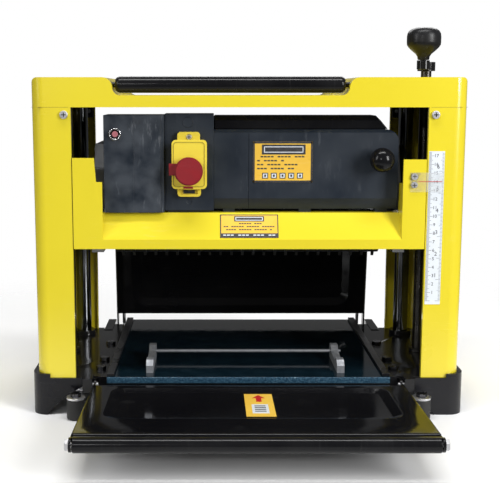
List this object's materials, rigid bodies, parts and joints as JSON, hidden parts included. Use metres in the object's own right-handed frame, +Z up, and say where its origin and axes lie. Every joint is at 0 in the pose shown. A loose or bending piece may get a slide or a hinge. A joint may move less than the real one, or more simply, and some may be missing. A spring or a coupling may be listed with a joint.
{
  "type": "thickness planer",
  "caption": "Benchtop thickness planer: yellow-covered frame on a black base, with a cutter head that rises on four columns and folding infeed and outfeed trays.",
  "frame": {"origin": "middle of the bench bolt pattern, on the floor plane under the corner shoes", "axes": "+X to the right seen from the infeed side, +Y towards the outfeed side, +Z up"},
  "size_m": [0.514, 0.5299, 0.456],
  "materials": {
    "black_casting": "gloss",
    "table_steel": "polished",
    "black_steel": "satin",
    "bright_fasteners": "satin",
    "black_rubber": "matt",
    "column_steel": "polished",
    "yellow_paint": "gloss",
    "charcoal_plastic": "moulded",
    "black_plastic": "gloss",
    "scale_print": "printed strip",
    "cast_aluminium": "as cast",
    "bronze": "machined",
    "tool_steel": "ground",
    "roller_rubber": "matt",
    "motor_iron": "painted",
    "label_foil": "printed foil",
    "clear_plastic": "clear",
    "switch_yellow": "gloss",
    "red_plastic": "satin",
    "green_plastic": "satin",
    "chrome_trim": "polished",
    "pale_plastic": "gloss"
  },
  "bodies": {
    "frame": {"base_casting": "black_casting", "table_plate": "table_steel", "table_rails": "black_steel", "hex_bolts": "bright_fasteners", "corner_shoes": "charcoal_plastic", "buffer_brackets": "bright_fasteners", "rubber_buffers": "black_rubber", "guide_columns": "column_steel", "top_frame": "black_steel", "left_cover": "yellow_paint", "right_cover": "yellow_paint", "top_cover": "yellow_paint", "cover_screws": "bright_fasteners", "depth_scale": "scale_print", "lift_chain": "black_steel", "tray_pins": "bright_fasteners"},
    "carriage": {"end_castings": "cast_aluminium", "bronze_bushes": "bronze", "front_crosspiece": "yellow_paint", "rear_crosspiece": "black_steel", "head_bearings": "tool_steel", "feed_chain": "black_steel", "motor": "motor_iron", "drive_belt": "black_rubber", "chip_shroud": "black_plastic", "left_block": "charcoal_plastic", "switch_block": "charcoal_plastic", "motor_cover": "charcoal_plastic", "label_plates": "label_foil", "depth_pointer": "clear_plastic", "pointer_screws": "bright_fasteners", "pawl_shaft": "tool_steel", "reset_ring": "chrome_trim", "switch_base": "switch_yellow"},
    "left_lift_screw": {"left_screw": "column_steel"},
    "right_lift_screw": {"right_screw": "column_steel", "crank_arm": "black_steel"},
    "knob": {"crank_knob": "black_plastic"},
    "front_return": {"front_return_roller": "black_plastic"},
    "rear_return": {"rear_return_roller": "black_plastic"},
    "cutterhead": {"cutter_drum": "tool_steel", "knives": "tool_steel", "gib_bars": "black_steel"},
    "motor_rotor": {"motor_shaft": "tool_steel"},
    "infeed_feed": {"infeed_roller": "roller_rubber"},
    "outfeed_feed": {"outfeed_roller": "roller_rubber"},
    "pawls": {"kickback_pawls": "black_steel"},
    "reset": {"reset_button": "pale_plastic"},
    "lock": {"lock_knob": "black_plastic"},
    "flap": {"switch_flap": "switch_yellow"},
    "mushroom": {"stop_mushroom": "red_plastic"},
    "start": {"start_button": "green_plastic"},
    "stop": {"stop_button": "red_plastic"},
    "infeed_table": {"infeed_tray": "black_casting", "infeed_tray_bolts": "bright_fasteners"},
    "infeed_support": {"infeed_tray_roller": "black_plastic"},
    "outfeed_table": {"outfeed_tray": "black_casting", "outfeed_tray_bolts": "bright_fasteners"},
    "outfeed_support": {"outfeed_tray_roller": "black_plastic"},
    "gauge": {"knife_gauge": "tool_steel"}
  },
  "joints": [
    {"name": "carriage_slide", "type": "slide", "parent": "frame", "child": "carriage", "axis": [0, 0, 1], "range_m": [-0.124, 0.012]},
    {"name": "left_screw_turn", "type": "hinge", "parent": "frame", "child": "left_lift_screw", "pos_m": [-0.227, 0, 0.2], "axis": [0, 0, 1], "continuous": true},
    {"name": "right_screw_turn", "type": "hinge", "parent": "frame", "child": "right_lift_screw", "pos_m": [0.227, 0, 0.2], "axis": [0, 0, 1], "continuous": true},
    {"name": "knob_spin", "type": "hinge", "parent": "right_lift_screw", "child": "knob", "pos_m": [0.207, -0.075, 0.43], "axis": [0, 0, 1], "continuous": true},
    {"name": "front_return_spin", "type": "hinge", "parent": "frame", "child": "front_return", "pos_m": [0, -0.112, 0.3891], "axis": [1, 0, 0], "continuous": true},
    {"name": "rear_return_spin", "type": "hinge", "parent": "frame", "child": "rear_return", "pos_m": [0, 0.112, 0.3891], "axis": [1, 0, 0], "continuous": true},
    {"name": "cutterhead_spin", "type": "hinge", "parent": "carriage", "child": "cutterhead", "pos_m": [0, 0, 0.211], "axis": [1, 0, 0], "continuous": true},
    {"name": "motor_spin", "type": "hinge", "parent": "carriage", "child": "motor_rotor", "pos_m": [0, 0.005, 0.3], "axis": [1, 0, 0], "continuous": true},
    {"name": "infeed_roller_spin", "type": "hinge", "parent": "carriage", "child": "infeed_feed", "pos_m": [0, -0.06, 0.2055], "axis": [1, 0, 0], "continuous": true},
    {"name": "outfeed_roller_spin", "type": "hinge", "parent": "carriage", "child": "outfeed_feed", "pos_m": [0, 0.06, 0.2055], "axis": [1, 0, 0], "continuous": true},
    {"name": "pawl_swing", "type": "hinge", "parent": "carriage", "child": "pawls", "pos_m": [0, -0.094, 0.203], "axis": [1, 0, 0], "range_deg": [0, 40]},
    {"name": "reset_press", "type": "slide", "parent": "carriage", "child": "reset", "axis": [0, 1, 0], "range_m": [0, 0.002], "stiffness_N_per_m": 600, "springref_m": -0.002},
    {"name": "lock_turn", "type": "hinge", "parent": "carriage", "child": "lock", "pos_m": [0.1534, -0.122, 0.3032], "axis": [0, 1, 0], "range_deg": [0, 120]},
    {"name": "flap_lift", "type": "hinge", "parent": "carriage", "child": "flap", "pos_m": [-0.06925, -0.1205, 0.3215], "axis": [-1, 0, 0], "range_deg": [0, 100]},
    {"name": "mushroom_press", "type": "slide", "parent": "flap", "child": "mushroom", "axis": [0, 1, 0], "range_m": [0, 0.0016], "stiffness_N_per_m": 600, "springref_m": -0.002},
    {"name": "start_press", "type": "slide", "parent": "carriage", "child": "start", "axis": [0, 1, 0], "range_m": [0, 0.002], "stiffness_N_per_m": 600, "springref_m": -0.002},
    {"name": "stop_press", "type": "slide", "parent": "carriage", "child": "stop", "axis": [0, 1, 0], "range_m": [0, 0.0015], "stiffness_N_per_m": 600, "springref_m": -0.002},
    {"name": "infeed_tray_fold", "type": "hinge", "parent": "frame", "child": "infeed_table", "pos_m": [0, -0.125, 0.036], "axis": [-1, 0, 0], "range_deg": [0, 76]},
    {"name": "infeed_support_spin", "type": "hinge", "parent": "infeed_table", "child": "infeed_support", "pos_m": [0, -0.34392, 0.04198], "axis": [1, 0, 0], "continuous": true},
    {"name": "outfeed_tray_fold", "type": "hinge", "parent": "frame", "child": "outfeed_table", "pos_m": [0, 0.168, 0.036], "axis": [1, 0, 0], "range_deg": [-95.2, 0]},
    {"name": "outfeed_support_spin", "type": "hinge", "parent": "outfeed_table", "child": "outfeed_support", "pos_m": [0, 0.1422, 0.25348], "axis": [1, 0, 0], "continuous": true},
    {"name": "gauge_lift", "type": "slide", "parent": "frame", "child": "gauge", "axis": [0, 0, 1], "range_m": [0, 0.1]}
  ],
  "couplings": [
    {"joint": "left_screw_turn", "follows": "carriage_slide", "rad_per_m": -3141.6},
    {"joint": "right_screw_turn", "follows": "carriage_slide", "rad_per_m": -3141.6},
    {"joint": "motor_spin", "follows": "cutterhead_spin", "ratio": 2},
    {"joint": "infeed_roller_spin", "follows": "cutterhead_spin", "ratio": -0.0075},
    {"joint": "outfeed_roller_spin", "follows": "cutterhead_spin", "ratio": -0.0075}
  ]
}
